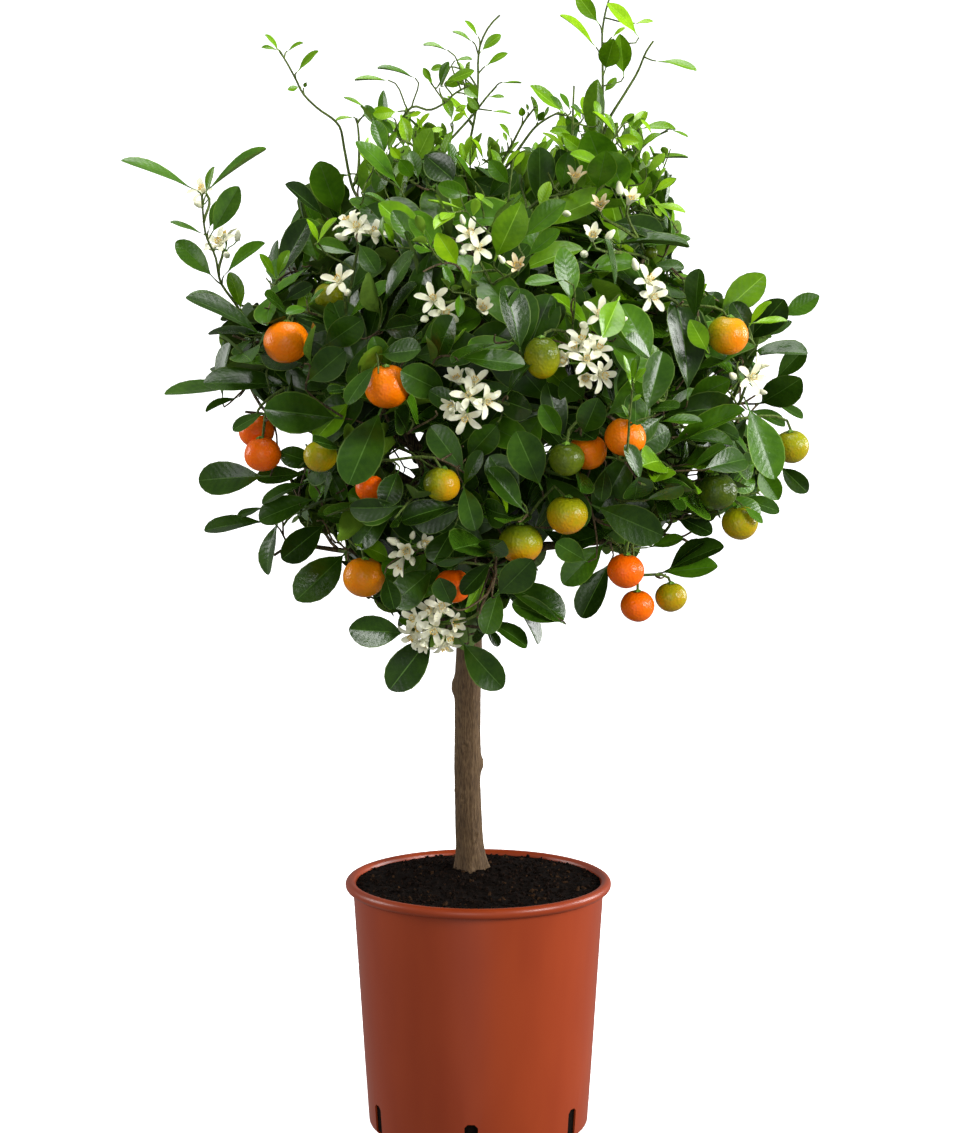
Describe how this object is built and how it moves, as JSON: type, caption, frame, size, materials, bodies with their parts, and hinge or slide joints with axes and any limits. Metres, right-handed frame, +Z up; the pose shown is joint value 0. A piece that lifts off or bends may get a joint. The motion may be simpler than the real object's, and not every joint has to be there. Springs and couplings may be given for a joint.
{
  "type": "calamondin orange tree in a pot",
  "caption": "Small citrus standard in fruit and blossom: a round crown of leafy masses on boughs from one clear stem, rooted in a round plastic nursery pot.",
  "frame": {"origin": "centre of the pot's flat underside", "axes": "+Z up along the stem, +X to the right and -Y towards the front, where most of the fruit hangs"},
  "size_m": [0.5949, 0.5314, 1.0318],
  "materials": {
    "terracotta_plastic": "satin moulded polypropylene, terracotta colour",
    "peat_soil": "moist crumbly peat",
    "bark": "finely fissured grey-brown bark",
    "foliage": "glossy leathery citrus leaves, with fruit and blossom"
  },
  "bodies": {
    "root": {"pot": "terracotta_plastic", "soil": "peat_soil", "trunk": "bark", "bough_lower_left": "bark", "bough_lower_left_back": "bark", "bough_lower_front": "bark", "bough_lower_right": "bark", "bough_lower_back": "bark", "bough_middle_left": "bark", "bough_middle_front_left": "bark", "bough_middle_front_right": "bark", "bough_middle_right": "bark", "bough_middle_right_back": "bark", "bough_middle_left_back": "bark", "bough_upper_left": "bark", "bough_upper_front": "bark", "bough_upper_right": "bark", "bough_upper_back": "bark", "bough_low_sprig": "bark", "foliage_lower_left": "foliage", "foliage_lower_left_back": "foliage", "foliage_lower_front": "foliage", "foliage_lower_right": "foliage", "foliage_lower_back": "foliage", "foliage_middle_left": "foliage", "foliage_middle_front_left": "foliage", "foliage_middle_front_right": "foliage", "foliage_middle_right": "foliage", "foliage_middle_right_back": "foliage", "foliage_middle_left_back": "foliage", "foliage_upper_left": "foliage", "foliage_upper_front": "foliage", "foliage_upper_right": "foliage", "foliage_upper_back": "foliage", "foliage_low_sprig": "foliage"}
  },
  "joints": []
}
